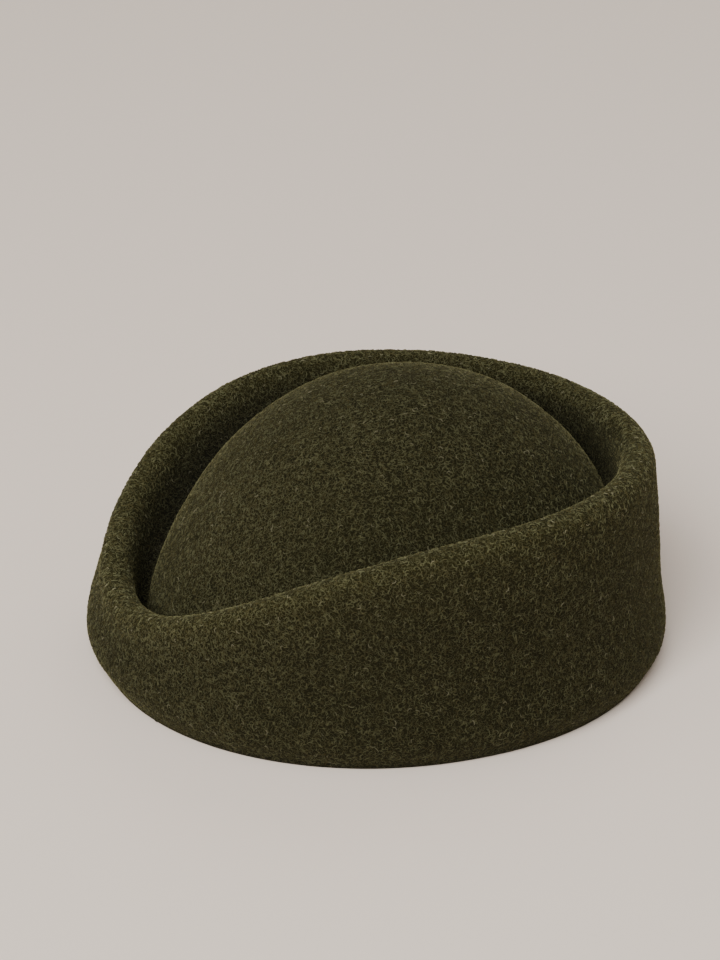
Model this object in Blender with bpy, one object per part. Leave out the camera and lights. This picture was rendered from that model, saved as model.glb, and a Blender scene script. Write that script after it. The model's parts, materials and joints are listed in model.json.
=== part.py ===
"""A blocked wool felt hat: one felt shell with a rolled rim, a groove and a domed crown.

Units are metres, +Z is up, the front of the hat is at -Y and the wearer's left at +X.
The hem stands on z = 0, and the origin is below the middle of the whole hat.
"""

import math
from collections import namedtuple

import bmesh
import bpy
import numpy as np

# Driving dimensions, metres
HEM_LENGTH = 0.190  # outside of the cut edge, front to back
HEM_WIDTH = 0.184  # outside of the cut edge, side to side
FELT = 0.0025  # thickness of the felt
EDGE_ROUNDING = 0.0003  # worn corners of the cut edge
BELLY = 0.0042  # how far the band swells out above the cut edge
BELLY_HEIGHT = 0.0111  # height of the fullest part of that swelling
BAND_BOW = 0.0015  # slight outward bow of the upper band
RIM_HEIGHT = 0.0732  # top of the rolled rim, where it is highest
RIM_LEAN = 0.0041  # how far the rim stands in from the cut edge at the sides
ROLL_HEIGHT = 0.0065  # upright radius of the rolled rim
ROLL_WIDTH = 0.00585  # half of the rolled rim's width
GROOVE_WIDTH = 0.0168  # from the middle of the rim in to the groove's floor, at the sides
GROOVE_DEPTH = 0.0235  # from the top of the rim down to the groove's floor, at the back
GROOVE_FOLD = 0.003  # size of the soft fold on the groove's floor
CROWN_HEIGHT = 0.0955  # top of the dome
CROWN_SET_BACK = 0.012  # how far the top of the dome stands behind the middle of the hem

# Shape of the curves
HEM_SQUARENESS = 2.06  # 2 is an ellipse, more is squarer
DOME_STEEPNESS = 0.75  # 0.5 is an ellipsoid, 1 is a shallow parabola
BELLY_TIGHTNESS = 2.2  # more keeps the swelling closer to its height
BOW_START = 0.2  # share of the band's height where the bow begins
ROLL_TURN = 140  # degrees that the rim rolls over before the inner wall leaves it
WALL_SWEEP = 0.8  # pull of the rim's roll and of the groove's floor on the inner wall

# Sections round the hat, evenly spaced from the front to the back. The other side mirrors them.
# lean is of RIM_LEAN, height of RIM_HEIGHT, groove_width and groove_depth of the groove's sizes.
Section = namedtuple("Section", "name lean height groove_width groove_depth")
SECTIONS = (
    Section("front", 0.07, 0.41, 0.55, 0.80),
    Section("front_quarter", 0.52, 0.72, 0.88, 0.70),
    Section("side", 1.00, 0.985, 1.00, 0.85),
    Section("back_quarter", 0.82, 1.00, 0.82, 0.94),
    Section("back", 0.19, 0.98, 0.50, 1.00),
)

# Fineness of the mesh
AROUND = 64
BAND_STEPS = 11
BAND_CROWDING = 1.4  # above 1 it crowds the steps towards the belly
ROLL_STEPS = 6
WALL_STEPS = 4
FOLD_STEPS = 3
DOME_STEPS = 9

# Finish
FELT_COLOUR = (0.045, 0.040, 0.020, 1.0)
FELT_ROUGHNESS = 0.95
SMOOTH_ANGLE = 40  # degrees, sharper edges stay crisp

TURNS = np.linspace(0.0, 2.0 * math.pi, AROUND, endpoint=False)
UP = np.array((0.0, 0.0, 1.0))


def clear_scene():
    """Remove whatever the scene starts with."""
    for old in list(bpy.data.objects):
        bpy.data.objects.remove(old, do_unlink=True)


def felt_material():
    """Dark olive wool felt, dull all over."""
    felt = bpy.data.materials.new("olive_felt")
    felt.use_nodes = True
    shader = felt.node_tree.nodes["Principled BSDF"]
    shader.inputs["Base Color"].default_value = FELT_COLOUR
    shader.inputs["Roughness"].default_value = FELT_ROUGHNESS
    shader.inputs["Metallic"].default_value = 0.0
    return felt


def round_the_hat(column):
    """Smooth mirrored curve round the hat through one column of the sections."""
    shares = np.array([getattr(section, column) for section in SECTIONS])
    gaps = len(SECTIONS) - 1
    orders = np.arange(gaps + 1)
    ends_halved = np.where((orders == 0) | (orders == gaps), 0.5, 1.0)
    waves = np.cos(np.outer(orders, orders) * math.pi / gaps)
    strengths = 2.0 / gaps * ends_halved * (waves @ (ends_halved * shares))
    return np.cos(np.outer(TURNS, orders)) @ strengths


def ring(reach, height):
    """Points round the hat, reach out from the middle of the hem and height above the table."""
    heights = np.broadcast_to(height, reach.shape)
    return np.column_stack([reach * np.sin(TURNS), -reach * np.cos(TURNS), heights])


def unit(directions):
    """The same directions with a length of one."""
    return directions / np.linalg.norm(directions, axis=-1, keepdims=True)


def away_from_middle(points):
    """Level directions from the middle of the hat out to a ring's points."""
    return unit(points * (1.0, 1.0, 0.0))


def hem_reach(inset=0.0):
    """Reach of the cut edge's oval, set in by an inset."""
    length = HEM_LENGTH / 2 - inset
    width = HEM_WIDTH / 2 - inset
    across = np.abs(np.sin(TURNS) / width) ** HEM_SQUARENESS
    along = np.abs(np.cos(TURNS) / length) ** HEM_SQUARENESS
    return (across + along) ** (-1.0 / HEM_SQUARENESS)


def rim_middle():
    """Reach and height of the middle line of the rolled rim."""
    reach = hem_reach() - RIM_LEAN * round_the_hat("lean") - ROLL_WIDTH
    height = RIM_HEIGHT * round_the_hat("height")
    return reach, height


def groove_floor():
    """Reach and height of the line where the inner wall and the dome would meet."""
    reach, height = rim_middle()
    reach = reach - GROOVE_WIDTH * round_the_hat("groove_width")
    height = height - GROOVE_DEPTH * round_the_hat("groove_depth")
    return reach, height


def swelling(height, share):
    """How far the band stands out at a height, which is a share of the way up to the rim."""
    climb = height / BELLY_HEIGHT
    belly = BELLY * (climb * np.exp(1.0 - climb)) ** BELLY_TIGHTNESS * (1.0 - share**2)
    bow_share = np.clip((share - BOW_START) / (1.0 - BOW_START), 0.0, 1.0)
    return belly + BAND_BOW * np.sin(math.pi * bow_share)


def band_rings():
    """The side band, from the rounding of its cut edge up to where the rim begins to roll."""
    rim_reach, rim_height = rim_middle()
    rings = []
    for step in range(BAND_STEPS):
        share = (step / BAND_STEPS) ** BAND_CROWDING
        height = EDGE_ROUNDING + share * (rim_height - ROLL_HEIGHT - EDGE_ROUNDING)
        straight = hem_reach() * (1.0 - share) + (rim_reach + ROLL_WIDTH) * share
        rings.append(ring(straight + swelling(height, share), height))
    return rings


def roll_rings():
    """The rolled rim, from the band over the top and partly down inside."""
    reach, height = rim_middle()
    rings = []
    for step in range(ROLL_STEPS + 1):
        turn = math.radians(ROLL_TURN) * step / ROLL_STEPS
        dropped = height - ROLL_HEIGHT * (1.0 - math.sin(turn))
        rings.append(ring(reach + ROLL_WIDTH * math.cos(turn), dropped))
    return rings


def wall_rings(top, floor):
    """The inner wall, in one easy sweep from the roll to the groove."""
    pull = np.linalg.norm(floor - top, axis=1, keepdims=True) * WALL_SWEEP
    outward = away_from_middle(floor)
    turn = math.radians(ROLL_TURN)
    off_the_roll = unit(UP * ROLL_HEIGHT * math.cos(turn) - outward * ROLL_WIDTH * math.sin(turn))
    into_the_groove = -unit(outward + UP)
    rings = []
    for step in range(1, WALL_STEPS + 1):
        t = step / WALL_STEPS
        ease = t * t * (3.0 - 2.0 * t)
        bend = off_the_roll * t * (1.0 - t) ** 2 - into_the_groove * t * t * (1.0 - t)
        rings.append(top * (1.0 - ease) + floor * ease + pull * bend)
    return rings


def dome_ring(floor, top, share):
    """The dome at a share of the way out from its top to the groove's floor."""
    rise = (1.0 - share**2) ** DOME_STEEPNESS
    points = top * (1.0 - share[:, None]) + floor * share[:, None]
    points[:, 2] = floor[:, 2] + (top[2] - floor[:, 2]) * rise
    return points


def crown_rings(wall_end, floor, top):
    """The soft fold on the groove's floor and the dome up to its top."""
    foot_rise = GROOVE_FOLD / (top[2] - floor[:, 2])
    foot_share = np.sqrt(1.0 - foot_rise ** (1.0 / DOME_STEEPNESS))
    foot = dome_ring(floor, top, foot_share)
    rings = []
    for step in range(1, FOLD_STEPS):
        t = step / FOLD_STEPS
        rings.append(wall_end * (1.0 - t) ** 2 + floor * 2.0 * t * (1.0 - t) + foot * t * t)
    for step in range(DOME_STEPS):
        spread = math.cos(math.pi / 2 * step / DOME_STEPS)
        rings.append(dome_ring(floor, top, foot_share * spread))
    return rings


def outer_rings():
    """Every ring of the felt's outer face above the cut edge, and the top of the dome."""
    top = np.array((0.0, CROWN_SET_BACK, CROWN_HEIGHT))
    floor = ring(*groove_floor())
    wall_end = floor + unit(away_from_middle(floor) + UP) * GROOVE_FOLD
    rings = band_rings() + roll_rings()
    rings += wall_rings(rings[-1], wall_end)
    rings += crown_rings(wall_end, floor, top)
    return np.array(rings), top


def inner_rings(rings, top):
    """The felt's inner face, one felt thickness behind the outer face everywhere."""
    along = np.roll(rings, -1, axis=1) - np.roll(rings, 1, axis=1)
    capped = np.concatenate([rings[:1], rings, np.broadcast_to(top, rings[:1].shape)])
    upward = capped[2:] - capped[:-2]
    return rings - unit(np.cross(along, upward)) * FELT, top - UP * FELT


def felt_shell(material):
    """The whole hat, one closed wall of felt."""
    outer, outer_top = outer_rings()
    inner, inner_top = inner_rings(outer, outer_top)
    inner[0] = ring(hem_reach(FELT), EDGE_ROUNDING)
    edge_outside = ring(hem_reach(EDGE_ROUNDING), 0.0)
    edge_inside = ring(hem_reach(FELT - EDGE_ROUNDING), 0.0)

    mesh = bmesh.new()
    loops = [*inner[::-1], edge_inside, edge_outside, *outer]
    rows = [[mesh.verts.new(point) for point in loop] for loop in loops]
    for row, next_row in zip(rows, rows[1:]):
        for here in range(AROUND):
            beside = (here + 1) % AROUND
            mesh.faces.new((row[here], row[beside], next_row[beside], next_row[here]))
    for row, point in ((rows[0], inner_top), (rows[-1], outer_top)):
        tip = mesh.verts.new(point)
        for here in range(AROUND):
            mesh.faces.new((row[here], row[(here + 1) % AROUND], tip))
    bmesh.ops.recalc_face_normals(mesh, faces=mesh.faces)
    bmesh.ops.triangulate(mesh, faces=mesh.faces)

    lengthwise = [vertex.co.y for vertex in mesh.verts]
    middle = (min(lengthwise) + max(lengthwise)) / 2
    bmesh.ops.translate(mesh, verts=mesh.verts, vec=(0.0, -middle, 0.0))

    data = bpy.data.meshes.new("felt_shell")
    mesh.to_mesh(data)
    mesh.free()
    data.shade_smooth()
    data.set_sharp_from_angle(angle=math.radians(SMOOTH_ANGLE))
    data.materials.append(material)
    shell = bpy.data.objects.new("felt_shell", data)
    bpy.context.scene.collection.objects.link(shell)
    return shell


clear_scene()
felt_shell(felt_material())
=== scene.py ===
"""Looks of a blocked felt hat: the felt shell, its nap, and a plain studio stage.

The shell follows the same rule as the solid model, at a finer mesh, and stands where that solid
stands. Units are metres, +Z is up, the front of the hat is at -Y and the wearer's left at +X.
"""

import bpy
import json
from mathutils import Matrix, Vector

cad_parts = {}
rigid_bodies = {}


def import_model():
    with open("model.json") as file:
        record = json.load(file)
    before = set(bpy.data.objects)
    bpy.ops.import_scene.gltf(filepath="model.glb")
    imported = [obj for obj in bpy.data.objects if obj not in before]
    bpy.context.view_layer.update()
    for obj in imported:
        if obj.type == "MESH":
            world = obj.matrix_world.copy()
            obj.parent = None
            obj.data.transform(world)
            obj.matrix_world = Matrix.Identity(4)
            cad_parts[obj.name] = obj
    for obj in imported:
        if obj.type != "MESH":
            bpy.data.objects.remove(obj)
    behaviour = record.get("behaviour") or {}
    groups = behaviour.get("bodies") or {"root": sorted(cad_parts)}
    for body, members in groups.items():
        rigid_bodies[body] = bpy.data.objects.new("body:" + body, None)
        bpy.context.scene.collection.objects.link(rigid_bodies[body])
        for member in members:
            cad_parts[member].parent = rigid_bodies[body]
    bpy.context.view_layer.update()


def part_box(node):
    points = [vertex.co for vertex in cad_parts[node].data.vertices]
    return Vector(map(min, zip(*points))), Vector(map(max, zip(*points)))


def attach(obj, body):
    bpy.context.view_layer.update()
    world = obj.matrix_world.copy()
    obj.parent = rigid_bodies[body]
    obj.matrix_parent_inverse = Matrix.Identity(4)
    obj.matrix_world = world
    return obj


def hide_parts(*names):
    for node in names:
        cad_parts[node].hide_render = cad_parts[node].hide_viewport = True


bl_info = {
    "name": "Blocked Felt Hat",
    "version": (1, 0, 0),
    "blender": (4, 5, 0),
    "location": "View3D > Sidebar > Felt Hat",
    "description": "Blocks a felt hat, raises its nap and lights it on a plain stage",
    "category": "Add Mesh",
}

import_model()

import json
import math
from collections import namedtuple

import bmesh
import bpy
import numpy as np
from bpy.props import FloatProperty, FloatVectorProperty, IntProperty, PointerProperty
from mathutils import Matrix, Vector, noise

BODY = "root"
NODE = "felt_shell"
FELT_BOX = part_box(NODE)

# Sections round the hat, evenly spaced from the front to the back. The other side mirrors them.
# lean is of the rim's lean, height of its height, and the rest of the groove's width and depth.
Section = namedtuple("Section", "name lean height groove_width groove_depth")
SECTIONS = (
    Section("front", 0.07, 0.41, 0.55, 0.80),
    Section("front_quarter", 0.52, 0.72, 0.88, 0.70),
    Section("side", 1.00, 0.985, 1.00, 0.85),
    Section("back_quarter", 0.82, 1.00, 0.82, 0.94),
    Section("back", 0.19, 0.98, 0.50, 1.00),
)

# Shape of the curves
HEM_SQUARENESS = 2.06  # 2 is an ellipse, more is squarer
DOME_STEEPNESS = 0.75  # 0.5 is an ellipsoid, 1 is a shallow parabola
BELLY_TIGHTNESS = 2.2  # more keeps the swelling closer to its height
BOW_START = 0.2  # share of the band's height where the bow begins
ROLL_TURN = math.radians(140)  # how far the rim rolls over before the inner wall leaves it
WALL_SWEEP = 0.8  # pull of the rim's roll and of the groove's floor on the inner wall
EDGE_ROUNDING = 0.0009  # worn corners of the cut edge
HALFWAY_ROUND = 1.0 - math.sqrt(0.5)  # share of that rounding left at its middle

# Waviness of felt shaped by hand: waves per metre and their share of the unevenness
Wave = namedtuple("Wave", "scale share")
WAVES = (Wave(38.0, 1.0), Wave(95.0, 0.5))
WAVE_FADE = 0.01  # height by which the waves reach their full size

# Fineness of the shell's mesh
AROUND = 256
BAND_STEPS = 44
BAND_CROWDING = 1.2  # above 1 it crowds the steps towards the belly
ROLL_STEPS = 18
WALL_STEPS = 14
FOLD_STEPS = 6
DOME_STEPS = 42
INNER_STRIDE = 2  # the inner face has every second ring of the outer one
SHARP_ANGLE = math.radians(50)  # sharper edges stay crisp

TURNS = np.linspace(0.0, 2.0 * math.pi, AROUND, endpoint=False)
UP = np.array((0.0, 0.0, 1.0))

# Painted light and shade from the hem up, partly wear: from -1, painted shade, to above 1, paler.
# The dark line at the hem is painted contact shade. The dark inner wall and groove floor are
# painted shade in the recess. The band a little darker and the dome a little paler are painted
# light. The pale rolled rim is partly brushed wear and partly a painted highlight. Stations
# 0 to 1 are the band, 1 to 2 the roll, 2 to 3 the inner wall, 3 to 4 the fold and 4 to 5 the
# dome.
Stop = namedtuple("Stop", "station wear")
PAINTED_LIGHT_AND_WEAR = (
    Stop(0.0, -1.0),
    Stop(0.02, -0.7),
    Stop(0.06, -0.25),
    Stop(0.2, -0.15),
    Stop(0.8, -0.1),
    Stop(1.0, 0.3),
    Stop(1.35, 1.1),
    Stop(1.7, 1.05),
    Stop(2.0, 0.35),
    Stop(2.25, -0.45),
    Stop(2.6, -0.95),
    Stop(2.8, -1.0),
    Stop(4.0, -1.0),
    Stop(4.08, -0.4),
    Stop(4.2, 0.15),
    Stop(5.0, 0.1),
)
# Span of the painted light and shade, partly wear, that the colour follows
LIGHT_AND_WEAR_RANGE = (-1.0, 2.0)
LIGHT_AND_WEAR_GAIN = 0.65  # how much a value of 1 of the painted light and wear brightens the colour

# Wool of the two materials
Finish = namedtuple("Finish", "name roughness sheen")
PRESSED_FELT = Finish("pressed_felt", 0.95, 0.15)
NAP_FIBRES = Finish("nap_fibres", 0.85, 0.5)
SHEEN_ROUGHNESS = 0.4
GLOSS = 0.12  # wool barely shines
FELT_SIDE = 0.4  # share of the felt's own facing in how light falls on a fibre

# Tones of the two materials, by the names of the colours below
Tone = namedtuple("Tone", "position colour")
# The pressed felt's shade is painted shade between the fibres; the nap's shade is the colour of
# its darkest fibres
FELT_TONES = (Tone(0.0, "shade"), Tone(0.45, "wool"), Tone(0.9, "fleck"))
NAP_TONES = (
    Tone(0.05, "shade"),
    Tone(0.3, "wool"),
    Tone(0.55, "warm"),
    Tone(0.75, "fleck"),
    Tone(0.96, "fleck"),
    Tone(1.0, "speck"),
)

# Layers of curly strokes in the pressed felt. scale is strokes per metre, offset a place in the
# noise, and width how far the noise's value may be off its middle.
Layer = namedtuple("Layer", "scale offset width strength")
THREADS = (
    Layer(640.0, (0.0, 0.0, 0.0), 0.056, 1.0),
    Layer(770.0, (0.31, 0.17, 0.23), 0.062, 0.9),
    Layer(920.0, (0.71, 0.43, 0.57), 0.070, 0.7),
)
NOISE_MIDDLE = 0.5
NOISE_ROUGHNESS = 0.6
THREAD_DETAIL = 0.2
THREAD_DEPTH = 0.0004
BREAK_SCALE = 1.3  # breaks in the strokes are this much finer than the strokes
BREAK_SPAN = (0.36, 0.56)  # values of the noise from inside a break to outside it
BREAK_STRENGTH = (0.1, 1.0)  # what is left of a stroke there
BREAK_PLACE = (-3.1, -0.7)  # factor and shift from a layer's offset to its breaks' offset


class FeltHatSizes(bpy.types.PropertyGroup):
    """Sizes that a hat maker would change."""

    hem_length: FloatProperty(
        name="Hem length",
        description="Outside of the cut edge, front to back",
        default=0.190,
        unit="LENGTH",
    )
    hem_width: FloatProperty(
        name="Hem width",
        description="Outside of the cut edge, side to side",
        default=0.184,
        unit="LENGTH",
    )
    felt: FloatProperty(
        name="Felt",
        description="Thickness of the felt",
        default=0.0025,
        unit="LENGTH",
    )
    belly: FloatProperty(
        name="Belly",
        description="Swelling of the band above the cut edge",
        default=0.0042,
        unit="LENGTH",
    )
    belly_height: FloatProperty(
        name="Belly height",
        description="Height of the fullest swelling",
        default=0.0111,
        unit="LENGTH",
    )
    band_bow: FloatProperty(
        name="Band bow",
        description="Outward bow of the upper band",
        default=0.0015,
        unit="LENGTH",
    )
    rim_height: FloatProperty(
        name="Rim height",
        description="Top of the rolled rim at its highest",
        default=0.0732,
        unit="LENGTH",
    )
    rim_lean: FloatProperty(
        name="Rim lean",
        description="How far the rim stands in at the sides",
        default=0.0041,
        unit="LENGTH",
    )
    roll_height: FloatProperty(
        name="Roll height",
        description="Upright radius of the rolled rim",
        default=0.0065,
        unit="LENGTH",
    )
    roll_width: FloatProperty(
        name="Roll width",
        description="Half of the rolled rim's width",
        default=0.00585,
        unit="LENGTH",
    )
    groove_width: FloatProperty(
        name="Groove width",
        description="Rim's middle to the groove's floor",
        default=0.0168,
        unit="LENGTH",
    )
    groove_depth: FloatProperty(
        name="Groove depth",
        description="Rim's top to the groove's floor",
        default=0.0235,
        unit="LENGTH",
    )
    groove_fold: FloatProperty(
        name="Groove fold",
        description="Size of the soft fold on the groove's floor",
        default=0.003,
        unit="LENGTH",
    )
    crown_height: FloatProperty(
        name="Crown height",
        description="Top of the dome",
        default=FELT_BOX[1][2],
        unit="LENGTH",
    )
    crown_set_back: FloatProperty(
        name="Crown set back",
        description="Dome's top behind the hem's middle",
        default=0.012,
        unit="LENGTH",
    )
    unevenness: FloatProperty(
        name="Unevenness",
        description="Slight waviness of felt shaped by hand",
        default=0.00025,
        unit="LENGTH",
    )


class FeltHatNap(bpy.types.PropertyGroup):
    """Sizes of the short wool fibres that lie on the felt."""

    length: FloatProperty(
        name="Length",
        description="Length of one fibre along its curl",
        default=0.0024,
        unit="LENGTH",
    )
    thickness: FloatProperty(
        name="Thickness",
        description="Thickness of one fibre",
        default=0.00032,
        unit="LENGTH",
    )
    arch: FloatProperty(
        name="Arch",
        description="How far a fibre's middle stands off the felt",
        default=0.00011,
        unit="LENGTH",
    )
    spacing: FloatProperty(
        name="Spacing",
        description="Least distance between two fibres",
        default=0.00082,
        unit="LENGTH",
    )
    density: FloatProperty(
        name="Density",
        description="Most fibres on a square metre of felt",
        default=1050000.0,
    )
    tilt: FloatProperty(
        name="Tilt",
        description="Most that a fibre leans off the felt",
        default=math.radians(5),
        subtype="ANGLE",
    )
    clearance: FloatProperty(
        name="Clearance",
        description="Bare strip above the surface that the hat stands on",
        default=0.0012,
        unit="LENGTH",
    )
    seed: IntProperty(
        name="Seed",
        description="The first zone's scatter has the seed after this one",
        default=11,
    )


class FeltHatColours(bpy.types.PropertyGroup):
    """Colours of the felt and of the stage, in linear light."""

    # Darkest tone: on the pressed felt it is painted shade deep between the fibres, on the nap
    # the colour of its darkest fibres
    shade: FloatVectorProperty(
        name="Shade",
        description="Felt deep between the fibres",
        default=(0.0078, 0.0071, 0.0018),
        subtype="COLOR",
    )
    wool: FloatVectorProperty(
        name="Wool",
        description="Most of the fibres",
        default=(0.0240, 0.0225, 0.0075),
        subtype="COLOR",
    )
    warm: FloatVectorProperty(
        name="Warm",
        description="Browner fibres among them",
        default=(0.0360, 0.0310, 0.0120),
        subtype="COLOR",
    )
    fleck: FloatVectorProperty(
        name="Fleck",
        description="Paler fibres",
        default=(0.0605, 0.0608, 0.0292),
        subtype="COLOR",
    )
    speck: FloatVectorProperty(
        name="Speck",
        description="Rare pale fibres",
        default=(0.115, 0.108, 0.066),
        subtype="COLOR",
    )
    bloom: FloatVectorProperty(
        name="Bloom",
        description="Tint of the soft sheen at the edges",
        default=(0.40, 0.375, 0.175),
        subtype="COLOR",
    )
    floor: FloatVectorProperty(
        name="Floor",
        description="Plain pale floor",
        default=(0.94, 0.83, 0.73),
        subtype="COLOR",
    )


# Shape of the shell


def round_the_hat(column):
    """Smooth mirrored curve round the hat through one column of the sections."""
    shares = np.array([getattr(section, column) for section in SECTIONS])
    gaps = len(SECTIONS) - 1
    orders = np.arange(gaps + 1)
    ends_halved = np.where((orders == 0) | (orders == gaps), 0.5, 1.0)
    waves = np.cos(np.outer(orders, orders) * math.pi / gaps)
    strengths = 2.0 / gaps * ends_halved * (waves @ (ends_halved * shares))
    return np.cos(np.outer(TURNS, orders)) @ strengths


def ring(reach, height):
    """Points round the hat, reach out from the middle of the hem and height above the table."""
    heights = np.broadcast_to(height, reach.shape)
    return np.column_stack([reach * np.sin(TURNS), -reach * np.cos(TURNS), heights])


def unit(directions):
    """The same directions with a length of one."""
    return directions / np.linalg.norm(directions, axis=-1, keepdims=True)


def away_from_middle(points):
    """Level directions from the middle of the hat out to a ring's points."""
    return unit(points * (1.0, 1.0, 0.0))


def hem_reach(sizes, inset=0.0):
    """Reach of the cut edge's oval, set in by an inset."""
    across = np.abs(np.sin(TURNS) / (sizes.hem_width / 2 - inset)) ** HEM_SQUARENESS
    along = np.abs(np.cos(TURNS) / (sizes.hem_length / 2 - inset)) ** HEM_SQUARENESS
    return (across + along) ** (-1.0 / HEM_SQUARENESS)


def rim_middle(sizes):
    """Reach and height of the middle line of the rolled rim."""
    reach = hem_reach(sizes) - sizes.rim_lean * round_the_hat("lean") - sizes.roll_width
    return reach, sizes.rim_height * round_the_hat("height")


def groove_floor(sizes):
    """Line where the inner wall and the dome would meet."""
    reach, height = rim_middle(sizes)
    reach = reach - sizes.groove_width * round_the_hat("groove_width")
    height = height - sizes.groove_depth * round_the_hat("groove_depth")
    return ring(reach, height)


def swelling(sizes, height, share):
    """How far the band stands out at a height, which is a share of the way up to the rim."""
    climb = height / sizes.belly_height
    belly = sizes.belly * (climb * np.exp(1.0 - climb)) ** BELLY_TIGHTNESS * (1.0 - share**2)
    bow_share = np.clip((share - BOW_START) / (1.0 - BOW_START), 0.0, 1.0)
    return belly + sizes.band_bow * np.sin(math.pi * bow_share)


def band_rings(sizes):
    """The side band, from the rounding of its cut edge up to where the rim begins to roll."""
    rim_reach, rim_height = rim_middle(sizes)
    rings = []
    for step in range(BAND_STEPS):
        share = (step / BAND_STEPS) ** BAND_CROWDING
        height = EDGE_ROUNDING + share * (rim_height - sizes.roll_height - EDGE_ROUNDING)
        straight = hem_reach(sizes) * (1.0 - share) + (rim_reach + sizes.roll_width) * share
        rings.append(ring(straight + swelling(sizes, height, share), height))
    return rings


def roll_rings(sizes):
    """The rolled rim, from the band over the top and partly down inside."""
    reach, height = rim_middle(sizes)
    rings = []
    for step in range(ROLL_STEPS + 1):
        turn = ROLL_TURN * step / ROLL_STEPS
        dropped = height - sizes.roll_height * (1.0 - math.sin(turn))
        rings.append(ring(reach + sizes.roll_width * math.cos(turn), dropped))
    return rings


def wall_rings(sizes, top, floor):
    """The inner wall, in one easy sweep from the roll to the groove."""
    pull = np.linalg.norm(floor - top, axis=1, keepdims=True) * WALL_SWEEP
    outward = away_from_middle(floor)
    down = UP * sizes.roll_height * math.cos(ROLL_TURN)
    off_the_roll = unit(down - outward * sizes.roll_width * math.sin(ROLL_TURN))
    into_the_groove = -unit(outward + UP)
    rings = []
    for step in range(1, WALL_STEPS + 1):
        t = step / WALL_STEPS
        ease = t * t * (3.0 - 2.0 * t)
        bend = off_the_roll * t * (1.0 - t) ** 2 - into_the_groove * t * t * (1.0 - t)
        rings.append(top * (1.0 - ease) + floor * ease + pull * bend)
    return rings


def dome_ring(floor, top, share):
    """The dome at a share of the way out from its top to the groove's floor."""
    rise = (1.0 - share**2) ** DOME_STEEPNESS
    points = top * (1.0 - share[:, None]) + floor * share[:, None]
    points[:, 2] = floor[:, 2] + (top[2] - floor[:, 2]) * rise
    return points


def crown_rings(sizes, wall_end, floor, top):
    """The soft fold on the groove's floor and the dome up to its top."""
    foot_rise = sizes.groove_fold / (top[2] - floor[:, 2])
    foot_share = np.sqrt(1.0 - foot_rise ** (1.0 / DOME_STEEPNESS))
    foot = dome_ring(floor, top, foot_share)
    rings = []
    for step in range(1, FOLD_STEPS):
        t = step / FOLD_STEPS
        rings.append(wall_end * (1.0 - t) ** 2 + floor * 2.0 * t * (1.0 - t) + foot * t * t)
    for step in range(DOME_STEPS):
        spread = math.cos(math.pi / 2 * step / DOME_STEPS)
        rings.append(dome_ring(floor, top, foot_share * spread))
    return rings


def normals_of(rings, top):
    """Outward normals of the felt's outer face."""
    along = np.roll(rings, -1, axis=1) - np.roll(rings, 1, axis=1)
    capped = np.concatenate([rings[:1], rings, np.broadcast_to(top, rings[:1].shape)])
    return unit(np.cross(along, capped[2:] - capped[:-2]))


def uneven(points, amount):
    """Waviness of hand-shaped felt at each point, fading out on the cut edge."""
    heaves = [
        sum(wave.share * noise.noise(Vector(point) * wave.scale) for wave in WAVES)
        for point in points
    ]
    fade = np.clip(points[:, 2] / WAVE_FADE, 0.0, 1.0)
    return amount * fade * np.array(heaves)


def outer_face(sizes):
    """Rings of the felt's outer face above the cut edge, the dome's top, and how far all slid.

    The slide brings the middle of the whole hat over the origin, as in the solid model.
    """
    top = np.array((0.0, sizes.crown_set_back, sizes.crown_height))
    floor = groove_floor(sizes)
    wall_end = floor + unit(away_from_middle(floor) + UP) * sizes.groove_fold
    rings = band_rings(sizes) + roll_rings(sizes)
    rings += wall_rings(sizes, rings[-1], wall_end)
    rings += crown_rings(sizes, wall_end, floor, top)
    rings = np.array(rings)
    shift = uneven(rings.reshape(-1, 3), sizes.unevenness).reshape(rings.shape[:2])
    rings = rings + normals_of(rings, top) * shift[:, :, None]
    middle = (rings[:, :, 1].min() + rings[:, :, 1].max()) / 2
    slide = np.array((0.0, -middle, 0.0))
    return rings + slide, top + slide, slide


def light_and_wear_of_rings():
    """Painted light and shade, partly wear, on each ring of the outer face."""
    stations = np.concatenate(
        [
            np.arange(BAND_STEPS) / BAND_STEPS,
            1.0 + np.arange(ROLL_STEPS + 1) / (ROLL_STEPS + 1),
            2.0 + np.arange(WALL_STEPS) / WALL_STEPS,
            3.0 + np.arange(FOLD_STEPS - 1) / (FOLD_STEPS - 1),
            4.0 + np.arange(DOME_STEPS) / DOME_STEPS,
        ]
    )
    return np.interp(stations, [stop.station for stop in PAINTED_LIGHT_AND_WEAR], [stop.wear for stop in PAINTED_LIGHT_AND_WEAR])


# Meshes


def loft(mesh, loops, wear=None, closed=True):
    """Quads between neighbouring loops, with painted light and shade, partly wear, on each;
    returns the loops' vertices.
    """
    layer = mesh.verts.layers.float.new("wear") if wear is not None else None
    rows = [[mesh.verts.new(point) for point in loop] for loop in loops]
    if layer is not None:
        for row, value in zip(rows, wear):
            for vertex in row:
                vertex[layer] = value
    for row, next_row in zip(rows, rows[1:]):
        for here in range(len(row) if closed else len(row) - 1):
            beside = (here + 1) % len(row)
            mesh.faces.new((row[here], row[beside], next_row[beside], next_row[here]))
    return rows


def cap(mesh, row, point):
    """A fan of triangles from a loop to one point."""
    tip = mesh.verts.new(point)
    for here in range(len(row)):
        mesh.faces.new((row[here], row[(here + 1) % len(row)], tip))


def smooth_data(name, mesh):
    """Smooth mesh data from a bmesh, which is freed."""
    data = bpy.data.meshes.new(name)
    mesh.to_mesh(data)
    mesh.free()
    data.shade_smooth()
    return data


def in_scene(name, data):
    """An object at the origin, in the scene."""
    piece = bpy.data.objects.new(name, data)
    bpy.context.scene.collection.objects.link(piece)
    return piece


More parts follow.
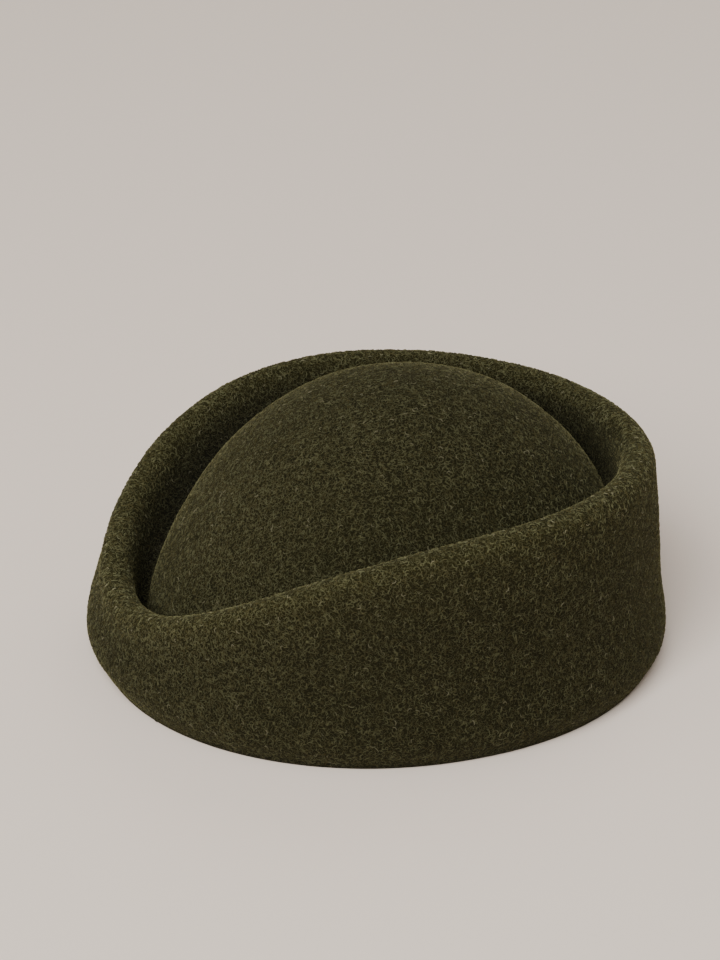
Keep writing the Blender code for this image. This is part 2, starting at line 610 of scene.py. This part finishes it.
def felt_mesh(sizes):
    """The whole shell as one closed wall: inner face, rounded cut edge and outer face."""
    outer, outer_top, slide = outer_face(sizes)
    inner = outer - normals_of(outer, outer_top) * sizes.felt
    inner = inner[::INNER_STRIDE]
    inner[0] = ring(hem_reach(sizes, sizes.felt), EDGE_ROUNDING) + slide
    edge_inside = ring(hem_reach(sizes, sizes.felt - EDGE_ROUNDING), 0.0) + slide
    edge_outside = ring(hem_reach(sizes, EDGE_ROUNDING), 0.0) + slide
    halfway = EDGE_ROUNDING * HALFWAY_ROUND
    edge_corner = ring(hem_reach(sizes, halfway), halfway) + slide

    # Painted light and shade, partly wear, on the outer face; none on the inner face
    wear = light_and_wear_of_rings()
    unpainted = np.zeros(len(inner) + 1)
    mesh = bmesh.new()
    loops = [*inner[::-1], edge_inside, edge_outside, edge_corner, *outer]
    rows = loft(mesh, loops, [*unpainted, wear[0], wear[0], *wear])
    cap(mesh, rows[0], outer_top - UP * sizes.felt)
    cap(mesh, rows[-1], outer_top)
    bmesh.ops.recalc_face_normals(mesh, faces=mesh.faces)
    return mesh


# Materials

# Spacing of the nodes in the editor
COLUMN_WIDTH = 220
ROW_HEIGHT = 180


def add_node(tree, kind, place, values=None, **settings):
    """A node of a kind with its settings and input values, at a place in the editor."""
    node = tree.nodes.new(kind)
    node.location = (place[0] * COLUMN_WIDTH, -place[1] * ROW_HEIGHT)
    for name, value in settings.items():
        setattr(node, name, value)
    for name, value in (values or {}).items():
        node.inputs[name].default_value = value
    return node


def noise_field(tree, source, place, scale, detail, offset):
    """A soft noise over the object's own coordinates, moved by an offset."""
    column, row = place
    moved = add_node(
        tree, "ShaderNodeVectorMath", (column - 1, row), {1: offset}, operation="ADD"
    )
    tree.links.new(source, moved.inputs[0])
    clouds = add_node(
        tree, "ShaderNodeTexNoise", place,
        {"Scale": scale, "Detail": detail, "Roughness": NOISE_ROUGHNESS},
    )
    tree.links.new(moved.outputs[0], clouds.inputs["Vector"])
    return clouds.outputs["Fac"]


def remapped(tree, place, source, span, to):
    """A value moved from one span to another and held inside it."""
    values = {"From Min": span[0], "From Max": span[1], "To Min": to[0], "To Max": to[1]}
    node = add_node(tree, "ShaderNodeMapRange", place, values, interpolation_type="SMOOTHSTEP")
    tree.links.new(source, node.inputs["Value"])
    return node.outputs["Result"]


def combined(tree, place, operation, first, second=0.0):
    """Two values combined by a math operation; the second may be a number."""
    node = add_node(tree, "ShaderNodeMath", place, operation=operation)
    tree.links.new(first, node.inputs[0])
    if isinstance(second, bpy.types.NodeSocket):
        tree.links.new(second, node.inputs[1])
    else:
        node.inputs[1].default_value = second
    return node.outputs[0]


def curly_threads(tree, source, place, layer):
    """Curly strokes: lines where a smooth noise crosses its middle value, with breaks in them."""
    column, row = place
    clouds = noise_field(
        tree, source, (column + 1, row), layer.scale, THREAD_DETAIL, layer.offset
    )
    off_middle = combined(tree, (column + 2, row), "SUBTRACT", clouds, NOISE_MIDDLE)
    distance = combined(tree, (column + 3, row), "ABSOLUTE", off_middle)
    line = remapped(
        tree, (column + 4, row), distance, (0.0, layer.width), (layer.strength, 0.0)
    )
    factor, shift = BREAK_PLACE
    elsewhere = tuple(factor * value + shift for value in layer.offset)
    breaks = noise_field(
        tree, source, (column + 3, row + 1), layer.scale * BREAK_SCALE, 0.0, elsewhere
    )
    strokes = remapped(tree, (column + 4, row + 1), breaks, BREAK_SPAN, BREAK_STRENGTH)
    return combined(tree, (column + 5, row), "MULTIPLY", line, strokes)


def ramp(tree, place, factor, tones, colours):
    """A colour ramp through a table of tones."""
    node = add_node(tree, "ShaderNodeValToRGB", place)
    stretch = node.color_ramp.elements
    while len(stretch) < len(tones):
        stretch.new(1.0)
    for element, tone in zip(stretch, tones):
        element.position = tone.position
        element.color = (*getattr(colours, tone.colour), 1.0)
    tree.links.new(factor, node.inputs[0])
    return node.outputs[0]


def attribute(tree, place, name, output):
    """A value that the mesh carries."""
    return add_node(tree, "ShaderNodeAttribute", place, attribute_name=name).outputs[output]


def shaded_and_worn(tree, place, colour):
    """A colour made darker with painted shade at the hem's line and in the groove, and paler on
    the rolled rim, partly brushed wear and partly a painted highlight.
    """
    column, row = place
    least, most = LIGHT_AND_WEAR_RANGE
    gain = add_node(
        tree, "ShaderNodeMapRange", (column - 1, row + 1),
        {
            "From Min": least,
            "From Max": most,
            "To Min": 1.0 + least * LIGHT_AND_WEAR_GAIN,
            "To Max": 1.0 + most * LIGHT_AND_WEAR_GAIN,
        },
    )
    wear = attribute(tree, (column - 2, row + 1), "wear", "Fac")
    tree.links.new(wear, gain.inputs["Value"])
    scaled = add_node(tree, "ShaderNodeVectorMath", place, operation="SCALE")
    tree.links.new(colour, scaled.inputs[0])
    tree.links.new(gain.outputs["Result"], scaled.inputs["Scale"])
    return scaled.outputs[0]


def wool_shader(finish, colours):
    """A new dull wool material, with its constant finish on the shader's own sockets."""
    wool = bpy.data.materials.new(finish.name)
    wool.use_nodes = True
    shader = wool.node_tree.nodes["Principled BSDF"]
    shader.inputs["Roughness"].default_value = finish.roughness
    shader.inputs["Specular IOR Level"].default_value = GLOSS
    shader.inputs["Sheen Weight"].default_value = finish.sheen
    shader.inputs["Sheen Roughness"].default_value = SHEEN_ROUGHNESS
    shader.inputs["Sheen Tint"].default_value = (*colours.bloom, 1.0)
    return wool, wool.node_tree, shader


def felt_material(colours):
    """Pressed wool seen between the fibres of the nap: its dark ground is painted shade deep
    between the fibres, with curly paler threads.
    """
    felt, tree, shader = wool_shader(PRESSED_FELT, colours)
    place = add_node(tree, "ShaderNodeTexCoord", (-9, 0)).outputs["Object"]
    threads = None
    for row, layer in enumerate(THREADS):
        strokes = curly_threads(tree, place, (-8, 3 * row), layer)
        if threads is None:
            threads = strokes
        else:
            threads = combined(tree, (-3, row), "MAXIMUM", strokes, threads)
    colour = ramp(tree, (-2, 1), threads, FELT_TONES, colours)
    tree.links.new(shaded_and_worn(tree, (-1, 0), colour), shader.inputs["Base Color"])
    bump = add_node(
        tree, "ShaderNodeBump", (-1, 3), {"Strength": 1.0, "Distance": THREAD_DEPTH}
    )
    tree.links.new(threads, bump.inputs["Height"])
    tree.links.new(bump.outputs["Normal"], shader.inputs["Normal"])
    return felt


def nap_material(colours):
    """Wool fibres of differing tone, with the painted light and shade, partly wear, of the felt
    under them, lit partly as the felt that they lie on.
    """
    wool, tree, shader = wool_shader(NAP_FIBRES, colours)
    tone = attribute(tree, (-6, 0), "tone", "Fac")
    colour = ramp(tree, (-3, 1), tone, NAP_TONES, colours)
    tree.links.new(shaded_and_worn(tree, (-1, 0), colour), shader.inputs["Base Color"])

    felt_side = attribute(tree, (-6, 3), "felt_normal", "Vector")
    world_side = add_node(
        tree, "ShaderNodeVectorTransform", (-5, 3),
        vector_type="NORMAL", convert_from="OBJECT", convert_to="WORLD",
    )
    tree.links.new(felt_side, world_side.inputs[0])
    own_side = add_node(tree, "ShaderNodeNewGeometry", (-5, 4)).outputs["Normal"]
    blend = add_node(tree, "ShaderNodeMix", (-4, 3), {"Factor": FELT_SIDE}, data_type="VECTOR")
    tree.links.new(own_side, blend.inputs["A"])
    tree.links.new(world_side.outputs[0], blend.inputs["B"])
    mean_side = add_node(tree, "ShaderNodeVectorMath", (-3, 3), operation="NORMALIZE")
    tree.links.new(blend.outputs["Result"], mean_side.inputs[0])
    tree.links.new(mean_side.outputs[0], shader.inputs["Normal"])
    return wool


# Nap

# Curls of a fibre, in degrees: how far it turns from end to end, and how far it sways on the way
Curl = namedtuple("Curl", "turn sway")
CURLS = (
    Curl(170, 0),
    Curl(-130, 20),
    Curl(90, -50),
    Curl(-60, 70),
    Curl(215, 10),
    Curl(-190, -20),
)
FIBRE_SIDES = 3
FIBRE_RINGS = 3
PATH_STEPS = 24  # short straight steps that make up a fibre's curl
FIBRE_SIZES = (0.65, 1.35)  # smallest and largest fibre, by the size of the shape
SEED_STEP = 1000  # more than the zones' seeds differ, so that no random value repeats another

# Zones of the outer face that carry their own piece of nap, by the rings that bound them
Zone = namedtuple("Zone", "name first last")
RIM_START = BAND_STEPS
WALL_START = RIM_START + ROLL_STEPS
DOME_START = WALL_START + WALL_STEPS + FOLD_STEPS - 1
DOME_END = DOME_START + DOME_STEPS
ZONES = (
    Zone("hem", 0, RIM_START // 2),
    Zone("band", RIM_START // 2, RIM_START),
    Zone("rim", RIM_START, WALL_START),
    Zone("groove", WALL_START, DOME_START + 1),
    Zone("crown", DOME_START + 1, DOME_END),
)

# Each zone is grown as a left and a right piece, by columns round the hat
HALF_ROUND = AROUND // 2
SIDES = (
    ("left", np.arange(0, HALF_ROUND + 1)),
    ("right", np.arange(HALF_ROUND, AROUND + 1) % AROUND),
)


def fibre_path(curl, nap):
    """Points along a fibre's middle, curling in the felt's plane and arched a little off it."""
    shares = np.linspace(0.0, 1.0, PATH_STEPS + 1)
    heading = np.radians(curl.turn * (shares - 0.5) + curl.sway * np.sin(2 * math.pi * shares))
    strides = np.column_stack([np.cos(heading), np.sin(heading)]) * nap.length / PATH_STEPS
    plan = np.cumsum(strides, axis=0)
    plan = np.vstack([(0.0, 0.0), plan[:-1]])
    heights = nap.arch * (2.0 * np.sin(math.pi * shares) - 1.0)
    return np.column_stack([plan - plan.mean(axis=0), heights]), heading


def fibre_shape(index, curl, nap):
    """One closed curly fibre with pointed ends that sink into the felt."""
    path, heading = fibre_path(curl, nap)
    turns = 2 * math.pi * np.arange(FIBRE_SIDES) / FIBRE_SIDES + math.pi / 2
    mesh = bmesh.new()
    loops = []
    for station in range(1, FIBRE_RINGS + 1):
        here = round(station * PATH_STEPS / (FIBRE_RINGS + 1))
        beside = np.array((-math.sin(heading[here]), math.cos(heading[here]), 0.0))
        around = np.outer(np.cos(turns), beside) + np.outer(np.sin(turns), UP)
        loops.append(path[here] + around * nap.thickness / 2)
    rows = loft(mesh, loops)
    cap(mesh, rows[0], path[0])
    cap(mesh, rows[-1], path[-1])
    bmesh.ops.recalc_face_normals(mesh, faces=mesh.faces)
    name = f"fibre_{index}"
    return bpy.data.objects.new(name, smooth_data(name, mesh))


def nap_inputs(tree):
    """Named inputs and the output of the nap's node tree."""
    face = tree.interface
    face.new_socket("Geometry", in_out="INPUT", socket_type="NodeSocketGeometry")
    for name in ("Spacing", "Density", "Tilt", "Clearance"):
        face.new_socket(name, in_out="INPUT", socket_type="NodeSocketFloat")
    face.new_socket("Seed", in_out="INPUT", socket_type="NodeSocketInt")
    face.new_socket("Geometry", in_out="OUTPUT", socket_type="NodeSocketGeometry")
    return add_node(tree, "NodeGroupInput", (-8, 0))


def stored(tree, place, points, name, kind, value):
    """Points that carry a named value to the fibres grown on them."""
    node = add_node(
        tree, "GeometryNodeStoreNamedAttribute", place,
        {"Name": name}, data_type=kind, domain="POINT",
    )
    tree.links.new(points, node.inputs["Geometry"])
    tree.links.new(value, node.inputs["Value"])
    return node.outputs["Geometry"]


def random_node(tree, row, kind, seed, step, values=None):
    """A random value for each fibre, with its own seed some steps above the zone's."""
    node = add_node(tree, "FunctionNodeRandomValue", (-6, row), values, data_type=kind)
    shifted = add_node(
        tree, "FunctionNodeIntegerMath", (-7, row), {1: SEED_STEP * step}, operation="ADD"
    )
    tree.links.new(seed, shifted.inputs[0])
    tree.links.new(shifted.outputs[0], node.inputs["Seed"])
    return node


def fibre_rotation(tree, on_felt, seed, tilt):
    """A fibre's rotation: any turn in the felt's plane, with a slight lean off it."""
    link = tree.links.new
    spin = random_node(tree, 4, "FLOAT", seed, 1, {"Max": 2 * math.pi})
    lean = random_node(tree, 5, "FLOAT", seed, 2)
    link(combined(tree, (-7, 9), "MULTIPLY", tilt, -1.0), lean.inputs["Min"])
    link(tilt, lean.inputs["Max"])
    angles = add_node(tree, "ShaderNodeCombineXYZ", (-5, 5))
    link(lean.outputs["Value"], angles.inputs["Y"])
    link(spin.outputs["Value"], angles.inputs["Z"])
    turned = add_node(tree, "FunctionNodeEulerToRotation", (-4, 5))
    link(angles.outputs[0], turned.inputs[0])
    stood = add_node(tree, "FunctionNodeRotateRotation", (-3, 4), rotation_space="LOCAL")
    link(on_felt, stood.inputs[0])
    link(turned.outputs[0], stood.inputs[1])
    return stood.outputs[0]


def above_the_strip(tree, clearance):
    """Whether a point stands above the bare strip at the hem."""
    place = add_node(tree, "GeometryNodeInputPosition", (-5, 2))
    split = add_node(tree, "ShaderNodeSeparateXYZ", (-4, 2))
    tree.links.new(place.outputs[0], split.inputs[0])
    above = add_node(
        tree, "FunctionNodeCompare", (-3, 2), data_type="FLOAT", operation="GREATER_THAN"
    )
    tree.links.new(split.outputs["Z"], above.inputs[0])
    tree.links.new(clearance, above.inputs[1])
    return above.outputs[0]


def nap_tree(shapes, material):
    """Node tree that scatters curly fibres over a guide surface and makes them real."""
    tree = bpy.data.node_groups.new("felt_nap", "GeometryNodeTree")
    link = tree.links.new
    entry = nap_inputs(tree)
    seed = entry.outputs["Seed"]

    scatter = add_node(
        tree, "GeometryNodeDistributePointsOnFaces", (-6, 0), distribute_method="POISSON"
    )
    link(entry.outputs["Geometry"], scatter.inputs["Mesh"])
    link(entry.outputs["Spacing"], scatter.inputs["Distance Min"])
    link(entry.outputs["Density"], scatter.inputs["Density Max"])
    link(seed, scatter.inputs["Seed"])

    tone = add_node(tree, "FunctionNodeRandomValue", (-6, 3), data_type="FLOAT")
    link(seed, tone.inputs["Seed"])
    points = stored(
        tree, (-5, 0), scatter.outputs["Points"], "tone", "FLOAT", tone.outputs["Value"]
    )
    points = stored(
        tree, (-4, 0), points, "felt_normal", "FLOAT_VECTOR", scatter.outputs["Normal"]
    )

    rotation = fibre_rotation(tree, scatter.outputs["Rotation"], seed, entry.outputs["Tilt"])
    smallest, largest = FIBRE_SIZES
    size = random_node(tree, 6, "FLOAT", seed, 3, {"Min": smallest, "Max": largest})
    pick = random_node(tree, 7, "INT", seed, 4, {"Min": 0, "Max": len(CURLS) - 1})
    library = add_node(
        tree, "GeometryNodeCollectionInfo", (-3, 6),
        {"Collection": shapes, "Separate Children": True, "Reset Children": True},
    )
    planted = add_node(tree, "GeometryNodeInstanceOnPoints", (-2, 0), {"Pick Instance": True})
    link(points, planted.inputs["Points"])
    link(above_the_strip(tree, entry.outputs["Clearance"]), planted.inputs["Selection"])
    link(library.outputs[0], planted.inputs["Instance"])
    link(pick.outputs["Value"], planted.inputs["Instance Index"])
    link(rotation, planted.inputs["Rotation"])
    link(size.outputs["Value"], planted.inputs["Scale"])

    real = add_node(tree, "GeometryNodeRealizeInstances", (-1, 0))
    link(planted.outputs[0], real.inputs[0])
    dressed = add_node(tree, "GeometryNodeSetMaterial", (0, 0), {"Material": material})
    link(real.outputs[0], dressed.inputs["Geometry"])
    leave = add_node(tree, "NodeGroupOutput", (1, 0))
    link(dressed.outputs[0], leave.inputs[0])
    return tree


def set_input(modifier, name, value):
    """Set a node modifier's input by its socket's identifier."""
    for item in modifier.node_group.interface.items_tree:
        if item.name == name and item.in_out == "INPUT":
            modifier[item.identifier] = value


def grow_nap(name, rings, columns, wear, tree, nap, seed):
    """One zone's nap as a plain mesh, grown on an open strip of the felt's outer face."""
    mesh = bmesh.new()
    loft(mesh, rings[:, columns], wear, closed=False)
    guide = in_scene(f"{name}_guide", smooth_data(f"{name}_guide", mesh))
    modifier = guide.modifiers.new("nap", "NODES")
    modifier.node_group = tree
    set_input(modifier, "Spacing", nap.spacing)
    set_input(modifier, "Density", nap.density)
    set_input(modifier, "Tilt", nap.tilt)
    set_input(modifier, "Clearance", nap.clearance)
    set_input(modifier, "Seed", seed)
    graph = bpy.context.evaluated_depsgraph_get()
    data = bpy.data.meshes.new_from_object(guide.evaluated_get(graph), depsgraph=graph)
    guide.modifiers.remove(modifier)
    bpy.data.objects.remove(guide, do_unlink=True)
    if not data.polygons:
        raise RuntimeError(f"No fibres grew for {name}")
    data.name = name
    return in_scene(name, data)


# Stage

# The camera stands as the photograph's did: its turn round the hat, its height and its distance.
VIEW_TURN = math.radians(70.06)
VIEW_RISE = math.radians(23.97)
VIEW_DISTANCE = 0.9916
PIXELS_PER_METRE = 2890.0
IMAGE_WIDTH = 720
IMAGE_HEIGHT = 960
HEM_MIDDLE_PIXEL = (376.71, 636.11)
SENSOR = 36.0  # millimetres
CLIP_START = 0.01
CLIP_END = 50.0

# Soft square lamps, by degrees to the right of the camera and degrees above the floor
Lamp = namedtuple("Lamp", "name turn rise power colour")
LAMPS = (
    Lamp("window", -88, 58, 12.0, (1.0, 0.98, 0.96)),
    Lamp("front", -20, 40, 232.0, (1.0, 0.99, 0.97)),
    Lamp("rear", 148, 40, 24.0, (1.0, 0.99, 0.97)),
)
LAMP_DISTANCE = 4.0
LAMP_SIZE = 2.7
SKY_COLOUR = (1.0, 0.99, 0.97)
SKY_STRENGTH = 0.20

# The floor is flat out to its radius and then sweeps up to a wall all round.
FLOOR_RADIUS = 5.0
FLOOR_SWEEP = 2.5
FLOOR_SIDES = 96
SWEEP_STEPS = 12
FLOOR_ROUGHNESS = 0.8


def view_axes():
    """Right, up and backward directions of the photograph's camera."""
    level = Vector((math.sin(VIEW_TURN), -math.cos(VIEW_TURN), 0.0))
    back = level * math.cos(VIEW_RISE) + Vector(UP) * math.sin(VIEW_RISE)
    right = Vector((math.cos(VIEW_TURN), math.sin(VIEW_TURN), 0.0))
    return right, back.cross(right), back


def add_camera(hem_middle):
    """The camera at the photograph's viewing angle, with everything sharp."""
    right, up, back = view_axes()
    across = (HEM_MIDDLE_PIXEL[0] - IMAGE_WIDTH / 2) / PIXELS_PER_METRE
    down = (HEM_MIDDLE_PIXEL[1] - IMAGE_HEIGHT / 2) / PIXELS_PER_METRE
    data = bpy.data.cameras.new("view")
    data.sensor_width = SENSOR
    data.lens = PIXELS_PER_METRE * VIEW_DISTANCE * SENSOR / IMAGE_HEIGHT
    data.clip_start = CLIP_START
    data.clip_end = CLIP_END
    camera = in_scene("view", data)
    turn = Matrix((right, up, back)).transposed().to_4x4()
    spot = hem_middle + back * VIEW_DISTANCE - right * across + up * down
    camera.matrix_world = Matrix.Translation(spot) @ turn
    bpy.context.scene.camera = camera


def add_lamp(lamp):
    """A soft square light that looks at the hat from its direction."""
    right, _, back = view_axes()
    level = Vector((back.x, back.y, 0.0)).normalized()
    turn, rise = math.radians(lamp.turn), math.radians(lamp.rise)
    sideways = level * math.cos(turn) + right * math.sin(turn)
    direction = sideways * math.cos(rise) + Vector(UP) * math.sin(rise)
    data = bpy.data.lights.new(lamp.name, "AREA")
    data.size = LAMP_SIZE
    data.energy = lamp.power
    data.color = lamp.colour
    light = in_scene(lamp.name, data)
    light.location = direction * LAMP_DISTANCE
    light.rotation_euler = direction.to_track_quat("Z", "Y").to_euler()


def add_sky():
    """Even pale light from all round."""
    sky = bpy.data.worlds.new("studio")
    sky.use_nodes = True
    background = sky.node_tree.nodes["Background"]
    background.inputs["Color"].default_value = (*SKY_COLOUR, 1.0)
    background.inputs["Strength"].default_value = SKY_STRENGTH
    bpy.context.scene.world = sky


def floor_profile():
    """Reach and height of each ring of the floor, from the middle out and up."""
    profile = [(FLOOR_RADIUS / 2, 0.0), (FLOOR_RADIUS, 0.0)]
    for step in range(1, SWEEP_STEPS + 1):
        turn = math.pi / 2 * step / SWEEP_STEPS
        reach = FLOOR_RADIUS + FLOOR_SWEEP * math.sin(turn)
        profile.append((reach, FLOOR_SWEEP * (1.0 - math.cos(turn))))
    profile.append((FLOOR_RADIUS + FLOOR_SWEEP, 2.0 * FLOOR_SWEEP))
    return profile


def add_floor(colours):
    """A plain pale floor, flat under the hat and swept up far from it all round."""
    paint = bpy.data.materials.new("pale_floor")
    paint.use_nodes = True
    shader = paint.node_tree.nodes["Principled BSDF"]
    shader.inputs["Base Color"].default_value = (*colours.floor, 1.0)
    shader.inputs["Roughness"].default_value = FLOOR_ROUGHNESS
    turns = 2 * math.pi * np.arange(FLOOR_SIDES) / FLOOR_SIDES
    mesh = bmesh.new()
    loops = [
        [(reach * math.cos(turn), reach * math.sin(turn), height) for turn in turns]
        for reach, height in floor_profile()
    ]
    rows = loft(mesh, loops)
    cap(mesh, rows[0][::-1], (0.0, 0.0, 0.0))
    bmesh.ops.recalc_face_normals(mesh, faces=mesh.faces)
    floor = in_scene("floor", smooth_data("floor", mesh))
    floor.data.materials.append(paint)


# Operators


class HAT_OT_felt_shell(bpy.types.Operator):
    """Block the felt shell: band, rolled rim, groove and crown in one wall of felt"""

    bl_idname = "felt_hat.shell"
    bl_label = "Block the Felt Shell"

    def execute(self, context):
        scene = context.scene
        data = smooth_data("hat_shell", felt_mesh(scene.felt_hat_sizes))
        data.set_sharp_from_angle(angle=SHARP_ANGLE)
        data.materials.append(felt_material(scene.felt_hat_colours))
        shell = in_scene("hat_shell", data)
        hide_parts(NODE)
        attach(shell, BODY)
        return {"FINISHED"}


class HAT_OT_felt_nap(bpy.types.Operator):
    """Raise the nap: short curly wool fibres over the outer face of the felt"""

    bl_idname = "felt_hat.nap"
    bl_label = "Raise the Nap"

    def execute(self, context):
        scene = context.scene
        nap = scene.felt_hat_nap
        rings = outer_face(scene.felt_hat_sizes)[0]
        # The nap carries the same painted light and shade, partly wear, as the felt under it
        wear = light_and_wear_of_rings()
        shapes = bpy.data.collections.new("fibre_shapes")
        for index, curl in enumerate(CURLS):
            shapes.objects.link(fibre_shape(index, curl, nap))
        tree = nap_tree(shapes, nap_material(scene.felt_hat_colours))
        seed = nap.seed
        for zone in ZONES:
            span = slice(zone.first, zone.last + 1)
            for side, columns in SIDES:
                seed += 1
                name = f"nap_{zone.name}_{side}"
                piece = grow_nap(name, rings[span], columns, wear[span], tree, nap, seed)
                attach(piece, BODY)
        for shape in list(shapes.objects):
            bpy.data.objects.remove(shape, do_unlink=True)
        bpy.data.collections.remove(shapes)
        return {"FINISHED"}


class HAT_OT_stage(bpy.types.Operator):
    """Set the stage: pale floor, soft studio lights and the camera"""

    bl_idname = "felt_hat.stage"
    bl_label = "Set the Stage"

    def execute(self, context):
        scene = context.scene
        add_floor(scene.felt_hat_colours)
        add_sky()
        for lamp in LAMPS:
            add_lamp(lamp)
        slide = outer_face(scene.felt_hat_sizes)[2]
        add_camera(Vector(slide))
        return {"FINISHED"}


class HAT_PT_felt_hat(bpy.types.Panel):
    """Sidebar panel that lists the hat's steps and sizes"""

    bl_idname = "HAT_PT_felt_hat"
    bl_label = "Felt Hat"
    bl_space_type = "VIEW_3D"
    bl_region_type = "UI"
    bl_category = "Felt Hat"

    def draw(self, context):
        layout = self.layout
        for step in STEPS:
            layout.operator(step.bl_idname)
        for group, _ in GROUPS:
            settings = getattr(context.scene, group)
            box = layout.box()
            for name in settings.bl_rna.properties.keys():
                if name not in ("rna_type", "name"):
                    box.prop(settings, name)


STEPS = (HAT_OT_felt_shell, HAT_OT_felt_nap, HAT_OT_stage)
GROUPS = (
    ("felt_hat_sizes", FeltHatSizes),
    ("felt_hat_nap", FeltHatNap),
    ("felt_hat_colours", FeltHatColours),
)


def register():
    """Make the settings, the steps and the panel known to Blender."""
    for name, group in GROUPS:
        bpy.utils.register_class(group)
        setattr(bpy.types.Scene, name, PointerProperty(type=group))
    for step in (*STEPS, HAT_PT_felt_hat):
        bpy.utils.register_class(step)


def unregister():
    """Take them back out."""
    for step in (HAT_PT_felt_hat, *reversed(STEPS)):
        bpy.utils.unregister_class(step)
    for name, group in reversed(GROUPS):
        delattr(bpy.types.Scene, name)
        bpy.utils.unregister_class(group)


def main():
    """Build the hat and its stage."""
    register()
    bpy.ops.felt_hat.shell()
    bpy.ops.felt_hat.nap()
    bpy.ops.felt_hat.stage()


if __name__ == "__main__":
    main()
